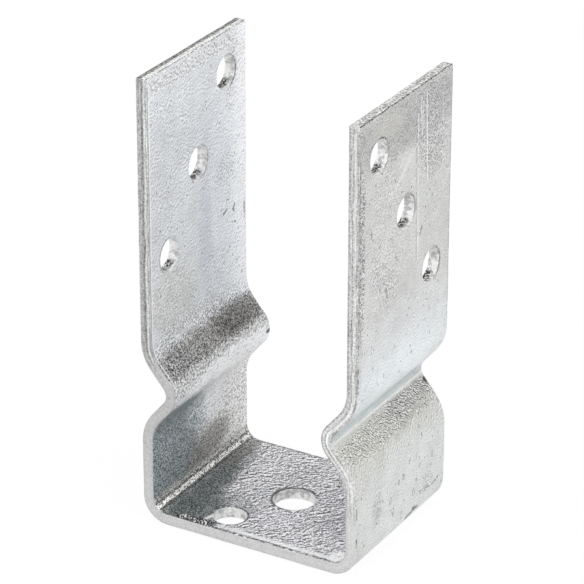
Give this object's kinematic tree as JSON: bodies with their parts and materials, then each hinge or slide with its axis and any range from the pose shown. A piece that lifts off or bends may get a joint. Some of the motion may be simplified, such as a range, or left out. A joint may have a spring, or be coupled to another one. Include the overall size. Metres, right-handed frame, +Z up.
{
  "type": "u bracket",
  "caption": "One-piece folded steel U bracket with crimped legs, staggered screw holes in the legs and a bolt hole in the base, for seating a timber post above concrete.",
  "frame": {"origin": "centre of the base's underside", "axes": "+X from the left leg to the right leg, +Y along the strip's width, +Z up along the legs"},
  "size_m": [0.079, 0.06, 0.155],
  "materials": {
    "zinc_steel": "hot-dip galvanised, matt grey zinc with fine grain"
  },
  "bodies": {
    "root": {"u_bracket": "zinc_steel"}
  },
  "joints": []
}
